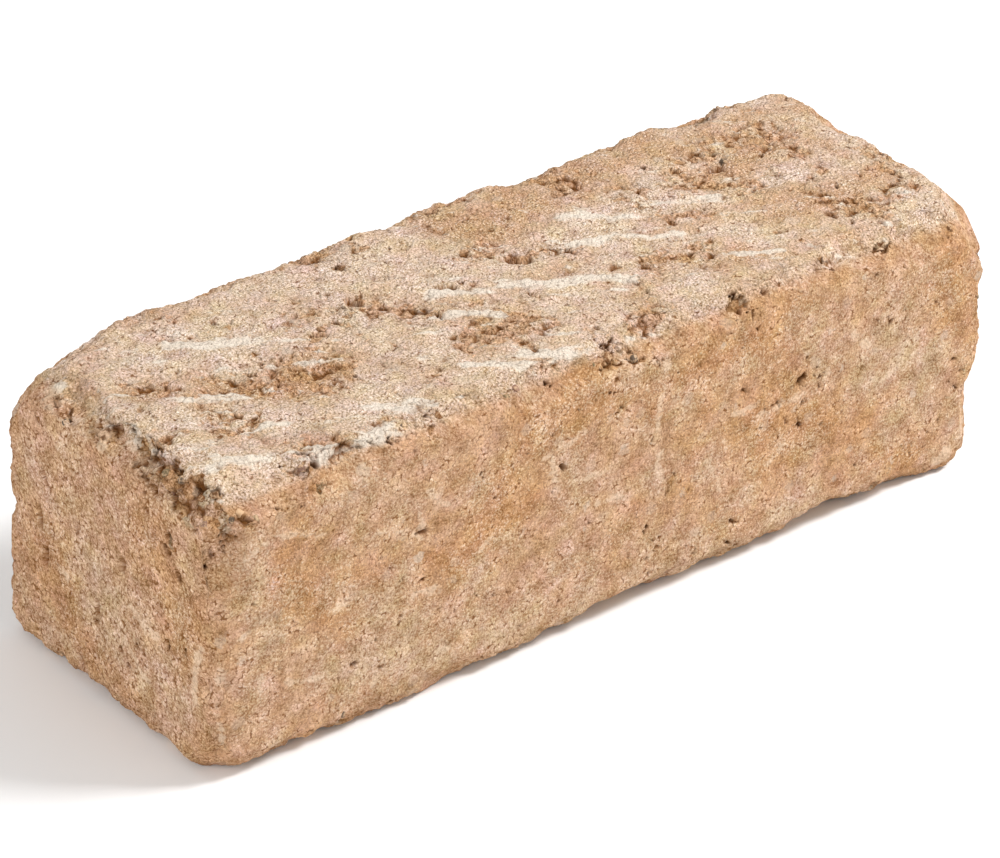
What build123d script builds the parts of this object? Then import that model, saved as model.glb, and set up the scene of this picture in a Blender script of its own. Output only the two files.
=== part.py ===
"""Tumbled concrete garden wall block: one cast piece, in millimetres.

The block lies on its bed face with its length along X. Its sides, ends and bed stay flat, as they left the mould.
Tumbling has worn every arris to a crowned chamfer of wandering width, knocked the corners round and chipped the
edges, and the top face has crumbled into shallow hollows.
"""

import os
from math import sqrt

from build123d import *

# Overall size of the block as cast, before its edges were tumbled off.
LENGTH = 380.0
WIDTH = 130.0
HEIGHT = 120.0

# Wear. A face, edge or corner further down gives its own wear as a share of these sizes.
ARRIS_WIDTH = 8.0  # how far an average worn edge reaches back over each of its two faces
CORNER_REACH = 20.0  # how far an average knocked corner runs along its three edges
CHIP_LENGTH = 34.0  # an average chip, measured along its edge
CHIP_DEPTH = 3.5  # how deep that chip bites below the worn edge
HOLLOW_LENGTH = 34.0  # an average hollow of the top face, measured across it
HOLLOW_DEPTH = 1.5  # how deep that hollow is in its middle

# How full the worn edges and corners are, from 0, cut flat, to 1, fully round.
ROUNDNESS = 0.45

OVERCUT = ARRIS_WIDTH  # how far each cutter stands out past the faces that it cuts

# Outward direction of each face. The block is named as it is seen from in front, looking along +Y.
FACES = {
    "left": Vector(-1, 0, 0),
    "right": Vector(1, 0, 0),
    "front": Vector(0, -1, 0),
    "back": Vector(0, 1, 0),
    "bed": Vector(0, 0, -1),
    "top": Vector(0, 0, 1),
}

# Width of each worn edge at even steps along it, towards +X, +Y or +Z, in shares of ARRIS_WIDTH.
ARRIS_WEAR = {
    ("front", "top"): (2.0, 1.4, 1.0, 1.2, 1.4, 1.0, 1.1, 1.6, 1.6),
    ("back", "top"): (2.2, 1.2, 0.8, 1.0, 0.7, 1.0, 1.0, 0.9, 1.2),
    ("front", "bed"): (1.7, 1.1, 0.7, 0.9, 1.3, 1.2, 1.2, 1.0, 0.8),
    ("back", "bed"): (0.9, 1.1, 0.7, 0.9, 1.2, 0.8, 1.0, 0.7, 1.0),
    ("left", "top"): (1.8, 1.2, 1.1, 1.5, 2.2),
    ("right", "top"): (2.6, 1.8, 1.5, 1.3, 1.3),
    ("left", "bed"): (1.5, 0.8, 0.9, 0.7, 0.9),
    ("right", "bed"): (1.2, 0.8, 1.0, 0.7, 1.0),
    ("left", "front"): (1.1, 0.6, 0.6, 0.9, 1.7),
    ("right", "front"): (1.2, 1.1, 0.8, 1.2, 2.6),
    ("left", "back"): (0.9, 0.6, 0.7, 0.6, 1.2),
    ("right", "back"): (1.0, 0.8, 0.7, 0.9, 1.1),
}

# How far each knocked corner reaches, in shares of CORNER_REACH.
CORNER_WEAR = {
    ("left", "front", "top"): 1.50,
    ("left", "back", "top"): 1.75,
    ("right", "back", "top"): 1.35,
    ("right", "front", "top"): 2.10,
    ("left", "front", "bed"): 1.30,
    ("left", "back", "bed"): 0.80,
    ("right", "back", "bed"): 0.85,
    ("right", "front", "bed"): 1.00,
}

# Chips along the edges. Each gives its place along the edge from -1 to 1, its length in shares of CHIP_LENGTH,
# its depth in shares of CHIP_DEPTH, and its lean, from 1 where it bites the first face to -1 for the second.
CHIPS = {
    ("front", "top"): (
        (-0.88, 1.2, 1.4, -0.3),
        (-0.70, 0.9, 1.0, 0.4),
        (-0.42, 0.9, 0.9, 0.1),
        (-0.18, 1.1, 1.1, 0.3),
        (0.06, 1.0, 1.0, -0.2),
        (0.64, 1.0, 0.8, -0.4),
        (0.80, 1.1, 1.0, 0.2),
    ),
    ("back", "top"): (
        (-0.55, 0.9, 0.6, -0.3),
        (-0.10, 1.0, 0.8, 0.2),
        (0.26, 0.8, 0.7, -0.2),
        (0.72, 1.0, 1.1, -0.3),
    ),
    ("left", "top"): ((-0.15, 0.9, 0.9, 0.2), (0.42, 0.8, 0.9, -0.2)),
    ("right", "top"): ((0.30, 0.9, 0.8, -0.3),),
    ("front", "bed"): (
        (-0.42, 0.9, 0.7, 0.3),
        (0.02, 1.2, 0.7, -0.2),
        (0.57, 1.2, 1.1, -0.2),
    ),
    ("right", "front"): ((-0.50, 0.9, 0.7, -0.2), (0.35, 0.8, 0.7, 0.2)),
    ("left", "front"): ((0.60, 0.8, 0.9, -0.3),),
}

# Hollows of the top face, some of which run into each other. Each gives its place along the block and across it,
# both from -1 to 1, its length in shares of HOLLOW_LENGTH and its depth in shares of HOLLOW_DEPTH.
HOLLOWS = (
    (-0.84, 0.24, 0.8, 0.8),
    (-0.80, -0.30, 0.8, 0.8),
    (-0.68, -0.04, 1.2, 1.1),
    (-0.60, -0.20, 1.0, 1.2),
    (-0.28, 0.14, 1.0, 0.9),
    (0.03, 0.28, 0.7, 1.5),
    (0.12, 0.15, 0.6, 1.0),
    (0.29, -0.30, 0.9, 0.7),
    (0.56, 0.26, 1.0, 1.2),
    (0.63, 0.08, 0.8, 1.0),
    (0.80, 0.44, 0.7, 1.0),
)

# How far a worn edge lies back from the sharp one along each of its faces, in shares of its width, and how far
# a knocked corner lies back along its diagonal, in shares of its reach. Both run from the flat cut to the round.
ARRIS_SETBACK = (1 - ROUNDNESS) * 0.5 + ROUNDNESS * (1 - sqrt(0.5))
CORNER_SETBACK = (1 - ROUNDNESS) * sqrt(1 / 3) + ROUNDNESS * (sqrt(3) - sqrt(2))

HALF_SIZE = Vector(LENGTH / 2, WIDTH / 2, HEIGHT / 2)
CENTRE = Vector(0, 0, HEIGHT / 2)


def by_axis(direction, sizes):
    """The vector of sizes taken along the axes that a direction points along, with its signs."""
    return Vector(direction.X * sizes.X, direction.Y * sizes.Y, direction.Z * sizes.Z)


def scoop(mouth, outward, length, depth):
    """A ball that scoops a dish of that length and depth out of a surface, with its middle under mouth."""
    radius = (depth**2 + (length / 2) ** 2) / (2 * depth)
    # The ball is turned so that its poles, where facets crowd, and its seam lie off the dish.
    return Pos(mouth + outward * (radius - depth)) * Rot(0, -90, 0) * Sphere(radius)


class Arris:
    """One edge of the block: the two faces that meet on it, where it runs and how wide it is worn."""

    def __init__(self, faces):
        self.u, self.v = (FACES[name] for name in faces)
        crossed = self.u.cross(self.v)
        self.along = Vector(abs(crossed.X), abs(crossed.Y), abs(crossed.Z))
        self.middle = CENTRE + by_axis(self.u + self.v, HALF_SIZE)
        self.half_length = by_axis(self.along, HALF_SIZE).length
        self.widths = [ARRIS_WIDTH * share for share in ARRIS_WEAR[faces]]

    def point(self, place):
        """A point on the sharp edge, with place from -1 at its start to 1 at its end."""
        return self.middle + self.along * (place * self.half_length)

    def width(self, place):
        """The worn width at that place, between the two nearest steps."""
        steps = len(self.widths) - 1
        run = (place + 1) / 2 * steps
        step = min(int(run), steps - 1)
        share = run - step
        return self.widths[step] * (1 - share) + self.widths[step + 1] * share

    def crown(self, foot, width):
        """The middle of the worn edge, beside a point of the sharp one."""
        return foot - (self.u + self.v) * (width * ARRIS_SETBACK)

    def section(self, foot, width):
        """What wear takes off the edge, cut square to it at foot: all that lies outside a crowned chamfer."""
        over_u, over_v = self.u * OVERCUT, self.v * OVERCUT
        on_v_face = foot - self.u * width
        on_u_face = foot - self.v * width
        worn = ThreePointArc(on_v_face, self.crown(foot, width), on_u_face)
        outside = Polyline(on_u_face, on_u_face + over_u, foot + over_u + over_v, on_v_face + over_v, on_v_face)
        return make_face([worn, outside]).face()

    def cutter(self):
        """The worn-off wedge over the whole edge, a little longer than the edge at both ends."""
        past_end = 1 + OVERCUT / self.half_length
        last = len(self.widths) - 1
        places = [past_end * (2 * i / last - 1) for i in range(last + 1)]
        return loft([self.section(self.point(place), width) for place, width in zip(places, self.widths)])

    def chip(self, place, length, depth, lean):
        """What a chip of that length and depth takes out of the worn edge."""
        outward = (self.u * (1 + lean) + self.v * (1 - lean)).normalized()
        return scoop(self.crown(self.point(place), self.width(place)), outward, length, depth)


def knocked_corner(faces, reach):
    """What is lost where a corner is knocked round: the corner's box less the ball that stays in it."""
    outward = sum((FACES[name] for name in faces), Vector(0, 0, 0))
    corner = CENTRE + by_axis(outward, HALF_SIZE)
    # The ball that meets the three edges at the reach and the diagonal at the setback has its centre this deep.
    setback = reach * CORNER_SETBACK
    depth = (reach**2 - setback**2) / (2 * (reach - sqrt(3) * setback))
    ball_centre = corner - outward * depth
    side = depth + OVERCUT
    corner_box = Pos(ball_centre + outward * (side / 2)) * Box(side, side, side)
    return corner_box - Pos(ball_centre) * Sphere(sqrt(3) * depth - setback)


def wall_block():
    """The cast block with its edges, corners, chips and hollows worn away."""
    block = Pos(CENTRE) * Box(LENGTH, WIDTH, HEIGHT)
    for faces in ARRIS_WEAR:
        block -= Arris(faces).cutter()
    for faces, share in CORNER_WEAR.items():
        block -= knocked_corner(faces, CORNER_REACH * share)
    for faces, chips in CHIPS.items():
        edge = Arris(faces)
        for place, length_share, depth_share, lean in chips:
            block -= edge.chip(place, CHIP_LENGTH * length_share, CHIP_DEPTH * depth_share, lean)
    for along, across, length_share, depth_share in HOLLOWS:
        mouth = CENTRE + by_axis(Vector(along, across, 1), HALF_SIZE)
        block -= scoop(mouth, FACES["top"], HOLLOW_LENGTH * length_share, HOLLOW_DEPTH * depth_share)
    return block


os.makedirs("parts", exist_ok=True)
export_step(wall_block().solid(), "parts/wall_block.step")
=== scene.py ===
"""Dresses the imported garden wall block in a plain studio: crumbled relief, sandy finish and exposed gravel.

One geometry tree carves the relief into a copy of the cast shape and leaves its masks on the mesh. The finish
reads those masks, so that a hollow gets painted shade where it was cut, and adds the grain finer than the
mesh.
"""

import math

import bmesh
import bpy
import numpy as np
from bpy.props import FloatProperty, FloatVectorProperty, IntProperty, PointerProperty
from mathutils import Matrix, Vector


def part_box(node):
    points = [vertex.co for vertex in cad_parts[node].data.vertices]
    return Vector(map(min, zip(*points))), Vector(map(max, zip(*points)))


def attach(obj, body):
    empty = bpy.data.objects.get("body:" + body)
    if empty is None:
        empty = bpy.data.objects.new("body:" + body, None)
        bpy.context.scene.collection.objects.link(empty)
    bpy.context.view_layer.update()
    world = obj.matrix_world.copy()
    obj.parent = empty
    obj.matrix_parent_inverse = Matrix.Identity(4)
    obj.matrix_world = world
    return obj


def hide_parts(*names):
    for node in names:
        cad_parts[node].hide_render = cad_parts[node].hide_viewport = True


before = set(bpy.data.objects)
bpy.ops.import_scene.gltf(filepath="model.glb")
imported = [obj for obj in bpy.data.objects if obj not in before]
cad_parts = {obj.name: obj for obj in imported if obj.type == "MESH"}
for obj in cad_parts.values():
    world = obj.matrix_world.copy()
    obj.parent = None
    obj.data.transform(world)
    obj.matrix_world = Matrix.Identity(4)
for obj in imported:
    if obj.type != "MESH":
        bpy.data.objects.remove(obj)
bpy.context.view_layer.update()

bl_info = {
    "name": "Garden wall block",
    "version": (1, 0, 0),
    "blender": (4, 5, 0),
    "location": "3D View > Sidebar > Wall block",
    "description": "Dresses a tumbled concrete wall block with relief, finish and exposed gravel",
    "category": "Object",
}

NODE = "wall_block"
BODY = "root"
BLOCK = "tumbled_block"
GRAVEL = "exposed_gravel"
BAKE_LAYER = "OFBake"
MM = 0.001
UPRIGHT = (0.0, 0.0, 1.0)

# Sizes of the sand granules, of the crumbs under the skin and of the lumps in the breaks, in millimetres.
GRANULE = 1.35
CRUMB = 3.6
LUMP = 6.0

# The block's sides, in millimetres. Marks are placed from them: the length runs along X, the bed is at Z 0.
LOW, HIGH = (np.array(corner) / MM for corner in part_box(NODE))
LEFT, FRONT, BED = LOW
RIGHT, BACK, TOP = HIGH
CENTRE = (LOW + HIGH) / 2
HALF = (HIGH - LOW) / 2

# Masks of the skin that thinning out spares, and the steps from 0 to 1 in which it spares it.
DETAIL_MASKS = ("broken", "crumbled", "hollow", "streaked", "near_edge")
DETAIL_STEPS = (0.25, 0.5, 0.75, 0.95)

# How pebbles come out, in radii: the half lengths of each, how far from its middle its flats lie, how much of
# what stands out past a flat is worn off, its size after that, and how deep the least sunk one lies.
PEBBLE_HALVES = (0.75, 1.1)
PEBBLE_FLATS = (0.45, 0.8)
PEBBLE_WEAR = 0.95
PEBBLE_SIZE = 0.8
PEBBLE_BED = 0.3
PEBBLE_SHADES = (0.75, 1.25)  # how much darker or lighter than its stone a pebble is
PEBBLE_MARGIN = 0.1  # how far pebbles stay inside the cast box, in millimetres

# The pebbles that are strewn: how broken the skin has to be for one, how deep they are sunk in radii, how
# much oftener they are fine than coarse, and their stones, of which the common ones come more than once.
STREWN_OVER = 0.8
STREWN_SUNK = (0.4, 0.75)
STREWN_FINENESS = 2.5
STREWN_STONES = ("slate", "brown", "olive", "mauve", "mauve", "sand", "sand", "sand", "sand", "amber")

# Marks given one by one. Each is a run from one point to another and how far it reaches, in millimetres.
MARKS = {
    # Stretches of worn edge that have broken back to raw concrete.
    "broken_marks": (
        ((-186, FRONT, TOP), (-152, FRONT, TOP), 17),
        ((-146, FRONT, TOP), (-104, FRONT, TOP), 9),
        ((-90, FRONT, TOP), (-72, FRONT, TOP), 11),
        ((-56, FRONT, TOP), (-12, FRONT, TOP), 11),
        ((-12, FRONT, TOP), (6, FRONT, TOP), 12),
        ((100, FRONT, TOP), (166, FRONT, TOP), 10),
        ((LEFT, -60, TOP), (LEFT, -28, TOP), 16),
        ((LEFT, -22, TOP), (LEFT, 30, TOP), 10),
        ((LEFT, 34, TOP), (LEFT, 62, TOP), 7),
        ((LEFT, FRONT, 98), (LEFT, FRONT, 112), 10),
        ((RIGHT, FRONT, 66), (RIGHT, FRONT, 100), 10),
        ((112, FRONT, BED), (130, FRONT, BED), 9),
        ((-136, FRONT, BED), (-126, FRONT, BED), 8),
        ((150, BACK, TOP), (128, BACK, TOP), 9),
    ),
    # Patches of the top face where the cement skin has come away from the orange sand under it.
    "crumbled_marks": (
        ((-162, 16, TOP), (-156, 14, TOP), 14),
        ((-156, -18, TOP), (-148, -24, TOP), 15),
        ((-136, 0, TOP), (-108, -14, TOP), 21),
        ((-96, 4, TOP), (-78, 12, TOP), 8),
        ((-60, 16, TOP), (-46, 2, TOP), 15),
        ((3, 20, TOP), (9, 15, TOP), 12),
        ((20, 11, TOP), (26, 8, TOP), 10),
        ((44, -18, TOP), (68, -24, TOP), 12),
        ((74, 2, TOP), (84, -4, TOP), 9),
        ((100, 20, TOP), (122, 4, TOP), 18),
        ((148, 32, TOP), (158, 25, TOP), 13),
    ),
    # Wide patches of a rustier and of a greyer skin.
    "rusty_marks": (
        ((5, 45, TOP), (35, 38, TOP), 26),
        ((60, 45, TOP), (130, 42, TOP), 24),
        ((120, 20, TOP), (156, 22, TOP), 20),
        ((-140, 0, TOP), (-112, -10, TOP), 22),
        ((-162, 12, TOP), (-156, 8, TOP), 14),
        ((50, -24, TOP), (80, -34, TOP), 14),
        ((110, -20, TOP), (150, -24, TOP), 18),
        ((-45, FRONT, 98), (-15, FRONT, 96), 22),
        ((20, FRONT, 98), (70, FRONT, 100), 24),
        ((70, FRONT, 60), (110, FRONT, 42), 28),
        ((-158, FRONT, 72), (-130, FRONT, 48), 26),
        ((165, FRONT, 95), (182, FRONT, 55), 24),
        ((-80, FRONT, 58), (-60, FRONT, 76), 20),
        ((130, FRONT, 20), (150, FRONT, 14), 16),
        ((LEFT, 40, 50), (LEFT, 20, 20), 24),
        ((LEFT, -30, 90), (LEFT, -40, 60), 22),
    ),
    "ashen_marks": (
        ((-126, FRONT, 34), (-96, FRONT, 18), 28),
        ((-60, FRONT, 6), (110, FRONT, 4), 20),
        ((130, FRONT, 70), (150, FRONT, 60), 22),
        ((LEFT, 10, 60), (LEFT, -16, 30), 20),
    ),
    # Smears of pale cement, scraped along the top, pale scratches and rubs on the other sides, and a painted
    # highlight along the arris between the top and the left end.
    "pale_marks": (
        ((-36, 7, TOP), (31, -25, TOP), 7.5),
        ((81, 12, TOP), (101, 2, TOP), 7),
        ((39, 27, TOP), (63, 12, TOP), 6),
        ((32, 8, TOP), (67, -11, TOP), 5),
        ((-58, -40, TOP), (-40, -52, TOP), 7),
        ((-36, -48, TOP), (-14, -60, TOP), 9),
        ((-50, -4, TOP), (-28, -18, TOP), 5),
        ((-140, 34, TOP), (-108, 18, TOP), 8),
        ((-160, 4, TOP), (-140, -8, TOP), 8),
        ((-150, -28, TOP), (-136, -34, TOP), 6),
        ((-172, -40, TOP), (-160, -46, TOP), 8),
        ((-138, -56, TOP), (-112, -60, TOP), 14),
        ((-104, -42, TOP), (-88, -52, TOP), 8),
        ((74, -34, TOP), (92, -42, TOP), 5),
        # These two runs are a painted highlight on the arris between the top and the left end, where the
        # light catches it.
        ((LEFT, 24, TOP), (LEFT, -16, TOP), 16),
        ((LEFT, 58, TOP), (LEFT, 34, TOP), 16),
        ((-183, FRONT, 89), (-177, FRONT, 93), 2.8),
        ((-177, FRONT, 93), (-163, FRONT, 94), 2.8),
        ((-163, FRONT, 94), (-144, FRONT, 92), 2.6),
        ((-133, FRONT, 80), (-126, FRONT, 81), 2.6),
        ((-126, FRONT, 81), (-99, FRONT, 72), 2.6),
        ((-97, FRONT, 92), (-88, FRONT, 84), 3.6),
        ((-102, FRONT, 83), (-101, FRONT, 75), 3),
        ((-93, FRONT, 48), (-104, FRONT, 49), 3.2),
        ((-104, FRONT, 49), (-105, FRONT, 44), 3.2),
        ((-159, FRONT, 32), (-145, FRONT, 31), 3.2),
        ((-172, FRONT, 38), (-171, FRONT, 33), 4),
        ((-93, FRONT, 23), (-88, FRONT, 20), 3.6),
        ((-40, FRONT, 84), (-40, FRONT, 75), 3.6),
        ((-119, FRONT, 23), (-122, FRONT, 14), 3.6),
        ((-44, FRONT, 87), (-23, FRONT, 88), 2.6),
        ((14, FRONT, 68), (16, FRONT, 55), 3.6),
        ((-30, FRONT, 70), (-10, FRONT, 63), 3.2),
        ((-16, FRONT, 52), (-3, FRONT, 52), 3.4),
        ((16, FRONT, 29), (8, FRONT, 21), 3.6),
        ((13, FRONT, 107), (14, FRONT, 90), 3),
        ((14, FRONT, 90), (10, FRONT, 77), 3),
        ((47, FRONT, 61), (49, FRONT, 55), 3),
        ((48, FRONT, 70), (62, FRONT, 72), 4),
        ((63, FRONT, 66), (86, FRONT, 63), 3.4),
        ((112, FRONT, 86), (118, FRONT, 76), 3.6),
        ((86, FRONT, 83), (95, FRONT, 74), 3),
        ((131, FRONT, 56), (145, FRONT, 57), 3.2),
        ((37, FRONT, 51), (47, FRONT, 36), 3.2),
        ((69, FRONT, 39), (77, FRONT, 44), 3.2),
        ((-75, FRONT, 54), (-66, FRONT, 56), 3.4),
        ((-179, FRONT, 61), (-170, FRONT, 62), 3.6),
        ((-140, FRONT, 58), (-131, FRONT, 60), 3.6),
        ((LEFT, 29, 49), (LEFT, 22, 45), 3.2),
        ((LEFT, -14, 55), (LEFT, -32, 48), 3.6),
        ((LEFT, -54, 59), (LEFT, -56, 35), 4),
        ((LEFT, FRONT, 66), (LEFT, FRONT, 10), 4),
        ((LEFT, -10, 40), (LEFT, -34, 22), 3.6),
        ((168, FRONT, 8), (RIGHT, FRONT, 22), 9),
    ),
    # Holes where grit has dropped out.
    "hole_marks": (
        ((6, 15, TOP), (9, 10, TOP), 6),
        ((9, 19, TOP), (11, 18, TOP), 3),
        ((21, 6, TOP), (25, 5, TOP), 3),
        ((-30, 9, TOP), (-26, 8, TOP), 3),
        ((116, 24, TOP), (120, 22, TOP), 3),
        ((88, -62, TOP), (93, -63, TOP), 4),
        ((-88, 8, TOP), (-86, 6, TOP), 2.6),
        ((-64, 22, TOP), (-60, 18, TOP), 3),
        ((LEFT, 37, 84), (LEFT, 36, 80), 2),
        ((LEFT, 37, 52), (LEFT, 36, 45), 2.2),
        ((LEFT, 4, 47), (LEFT, 3, 42), 2),
        ((LEFT, -8, 70), (LEFT, -7, 66), 2.4),
        ((LEFT, 44, 66), (LEFT, 43, 60), 2.6),
        ((-36, FRONT, 80), (-35, FRONT, 78), 1.7),
        ((-104, FRONT, 74), (-100, FRONT, 75), 1.5),
        ((-130, FRONT, 30), (-128, FRONT, 29), 1.6),
        ((52, FRONT, 22), (54, FRONT, 21), 1.6),
    ),
}

# Pebbles placed one by one: the middle of each on the skin, its radius, how deep it is sunk, in radii, its
# stone.
PEBBLES = (
    ((-188, -38, 118), 2.4, 0.3, "slate"),
    ((-190, -32, 116), 2.4, 0.4, "olive"),
    ((-190, -36, 112), 2.6, 0.5, "mauve"),
    ((-189, -49, 119), 1.8, 0.2, "brown"),
    ((-187, -57, 118), 2.3, 0.3, "brown"),
    ((-188, -63, 115), 1.7, 0.1, "slate"),
    ((-171, FRONT, 113), 2.7, 0.3, "olive"),
    ((-174, -63, 118), 2.5, 0.4, "sand"),
    ((-150, -60, 118), 2.4, 0.3, "mauve"),
    ((LEFT, -58, 107), 2.2, 0.4, "mauve"),
    ((LEFT, -56, 88), 3.6, 0.6, "mauve"),
    ((LEFT, -60, 79), 2.2, 0.5, "amber"),
    ((-115, -54, TOP), 3.0, 0.5, "lilac"),
    ((-104, -58, 118), 2.4, 0.4, "slate"),
    ((-84, -62, 117), 2.6, 0.4, "brown"),
    ((-58, -64, 118), 2.3, 0.3, "olive"),
    ((-51, -62, 119), 2.8, 0.4, "mauve"),
    ((-41, FRONT, 114), 2.2, 0.4, "brown"),
    ((-19, FRONT, 117), 2.6, 0.4, "olive"),
    ((-11, -63, 118), 3.4, 0.5, "brown"),
    ((3, -64, 116), 2.8, 0.2, "slate"),
    ((-143, 1, TOP), 4.6, 0.72, "lilac"),
    ((-92, -24, TOP), 3.8, 0.74, "lilac"),
    ((-157, -7, TOP), 4.2, 0.72, "cream"),
    ((-127, 5, TOP), 4.4, 0.6, "sand"),
    ((-121, 3, TOP), 3.8, 0.6, "sand"),
    ((119, 21, TOP), 2.8, 0.4, "slate"),
    ((163, 27, TOP), 3.4, 0.4, "mauve"),
    ((168, -62, 116), 2.8, 0.3, "brown"),
    ((181, FRONT, 78), 2.6, 0.4, "olive"),
    ((185, -64, 73), 2.0, 0.3, "slate"),
    ((120, FRONT, 12), 4.2, 0.5, "mauve"),
    ((-131, FRONT, 8), 3.4, 0.4, "slate"),
    ((-39, FRONT, 80), 4.2, 0.78, "cream"),
    ((33, FRONT, 49), 4.6, 0.84, "lilac"),
    ((-66, FRONT, 61), 4.4, 0.84, "lilac"),
    ((LEFT, 26, 108), 2.4, 0.5, "slate"),
)


class Field:
    """An output of a node. Python's operators on it write Math nodes."""

    def __init__(self, tree, socket):
        self.tree = tree
        self.socket = socket

    def beside(self, output):
        """Another output of the same node."""
        return Field(self.tree, self.socket.node.outputs[output])

    def math(self, operation, first, second=0.0):
        """A Math node on two values, either of which may be a number."""
        return self.tree.add("ShaderNodeMath", {"operation": operation}, {0: first, 1: second})

    def __add__(self, other):
        return self.math("ADD", self, other)

    def __radd__(self, other):
        return self.math("ADD", other, self)

    def __sub__(self, other):
        return self.math("SUBTRACT", self, other)

    def __rsub__(self, other):
        return self.math("SUBTRACT", other, self)

    def __mul__(self, other):
        return self.math("MULTIPLY", self, other)

    def __rmul__(self, other):
        return self.math("MULTIPLY", other, self)

    def __truediv__(self, other):
        return self.math("DIVIDE", self, other)

    def __rtruediv__(self, other):
        return self.math("DIVIDE", other, self)

    def __pow__(self, other):
        return self.math("POWER", self, other)

    def __abs__(self):
        return self.math("ABSOLUTE", self)

    def least(self, other):
        """The lower of two values."""
        return self.math("MINIMUM", self, other)

    def most(self, other):
        """The higher of two values."""
        return self.math("MAXIMUM", self, other)

    def rise(self, start, end):
        """0 up to start and 1 from end on, with a smooth rise between. It falls where end is the lower."""
        if start > end:
            return 1 - self.rise(end, start)
        settings = {"interpolation_type": "SMOOTHSTEP"}
        sockets = {"Value": self, "From Min": start, "From Max": end}
        return self.tree.add("ShaderNodeMapRange", settings, sockets)


class Tree:
    """A node tree to which nodes are added by their type, settings and sockets."""

    def __init__(self, nodes, links):
        self.nodes = nodes
        self.links = links

    def add(self, kind, settings=None, sockets=None, output=0):
        """A new node: first its settings, then its socket values and links. Returns one of its outputs."""
        node = self.nodes.new(kind)
        for name, value in (settings or {}).items():
            if name == "stops":
                self.set_stops(node.color_ramp, value)
            else:
                setattr(node, name, value)
        for key, value in (sockets or {}).items():
            if isinstance(value, Field):
                self.links.new(value.socket, node.inputs[key])
            else:
                node.inputs[key].default_value = value
        return Field(self, node.outputs[output]) if node.outputs else None

    def set_stops(self, ramp, stops):
        """Gives a colour ramp its stops, each a place from 0 to 1 and a colour."""
        ramp.interpolation = "CONSTANT"
        while len(ramp.elements) < len(stops):
            ramp.elements.new(0.5)
        for element, (place, colour) in zip(ramp.elements, stops):
            element.position = place
            element.color = rgba(colour)

    def vector(self, operation, first, second):
        """A Vector Math node on two vectors."""
        return self.add("ShaderNodeVectorMath", {"operation": operation}, {0: first, 1: second})

    def scaled(self, vector, scale):
        """A vector times a value."""
        return self.add("ShaderNodeVectorMath", {"operation": "SCALE"}, {0: vector, "Scale": scale})

    def moved(self, place, shift):
        """A place moved aside, so that the same noise gives other values there."""
        return self.vector("ADD", place, (shift, shift, shift)) if shift else place

    def parts(self, vector):
        """The three parts of a vector or of a cell's random colour."""
        first = self.add("ShaderNodeSeparateXYZ", None, {0: vector})
        return first, first.beside(1), first.beside(2)

    def blend(self, amount, under, over):
        """A colour that goes from under to over as the amount goes from 0 to 1."""
        settings = {"data_type": "RGBA", "clamp_factor": True}
        return self.add("ShaderNodeMix", settings, {0: amount, 6: rgba(under), 7: rgba(over)}, output=2)

    def noise(self, place, size, detail=2.0, roughness=0.5, shift=0.0, output=0):
        """Cloudy noise from 0 to 1, with lumps of about that size in millimetres."""
        sockets = {
            "Vector": self.moved(place, shift),
            "Scale": 1 / size,
            "Detail": detail,
            "Roughness": roughness,
        }
        return self.add("ShaderNodeTexNoise", None, sockets, output)

    def cells(self, place, size, shift=0.0):
        """The distance to the middle of the nearest cell, in cells of about that size in millimetres."""
        sockets = {"Vector": self.moved(place, shift), "Scale": 1 / size}
        return self.add("ShaderNodeTexVoronoi", None, sockets, "Distance")

    def wobbled(self, place, size, reach, shift):
        """A place pushed about by a noise of that size, by up to that reach in millimetres."""
        push = self.noise(place, size, 2.0, 0.6, shift, "Color")
        return self.vector("ADD", place, self.scaled(push, reach))

    def crumbs(self, place, size):
        """Rounded crumbs of about that size: 0 on each crown, rising into the gaps, and each one's chance."""
        near = self.cells(self.wobbled(place, 0.8 * size, 0.7 * size, 220.0), size, 200.0)
        chance, _, _ = self.parts(near.beside("Color"))
        return near ** 2, chance

    def drawn_out(self, place, angle, stretch):
        """A place turned flat by an angle and squeezed there, so that noise on it is drawn out that way."""
        settings = {"rotation_type": "AXIS_ANGLE"}
        sockets = {"Vector": place, "Axis": UPRIGHT, "Angle": -angle}
        turned = self.add("ShaderNodeVectorRotate", settings, sockets)
        return self.vector("DIVIDE", turned, (stretch, 1.0, 1.0))


class ReliefTree(Tree):
    """A geometry tree that takes a mesh and gives it back carved."""

    def __init__(self, name):
        self.group = bpy.data.node_groups.new(name, "GeometryNodeTree")
        self.group.interface.new_socket("Geometry", in_out="INPUT", socket_type="NodeSocketGeometry")
        self.group.interface.new_socket("Geometry", in_out="OUTPUT", socket_type="NodeSocketGeometry")
        super().__init__(self.group.nodes, self.group.links)
        self.mesh = self.add("NodeGroupInput")

    def place(self):
        """Where a point of the mesh is, in millimetres."""
        return self.scaled(self.add("GeometryNodeInputPosition"), 1 / MM)

    def mark(self, name):
        """The strength of the marks of that name."""
        return self.add("GeometryNodeInputNamedAttribute", {"data_type": "FLOAT"}, {"Name": name})

    def store(self, name, value, kind="FLOAT"):
        """Keeps a value on the mesh under a name."""
        settings = {"data_type": kind, "domain": "POINT"}
        sockets = {"Geometry": self.mesh, "Name": name, "Value": value}
        self.mesh = self.add("GeometryNodeStoreNamedAttribute", settings, sockets)

    def sink(self, depth):
        """Moves the skin inwards by a depth in millimetres."""
        offset = self.scaled(self.add("GeometryNodeInputNormal"), depth * -MM)
        self.mesh = self.add("GeometryNodeSetPosition", None, {"Geometry": self.mesh, "Offset": offset})

    def finish(self):
        """Puts the mesh out and returns the node group."""
        self.add("NodeGroupOutput", None, {0: self.mesh})
        return self.group


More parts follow.
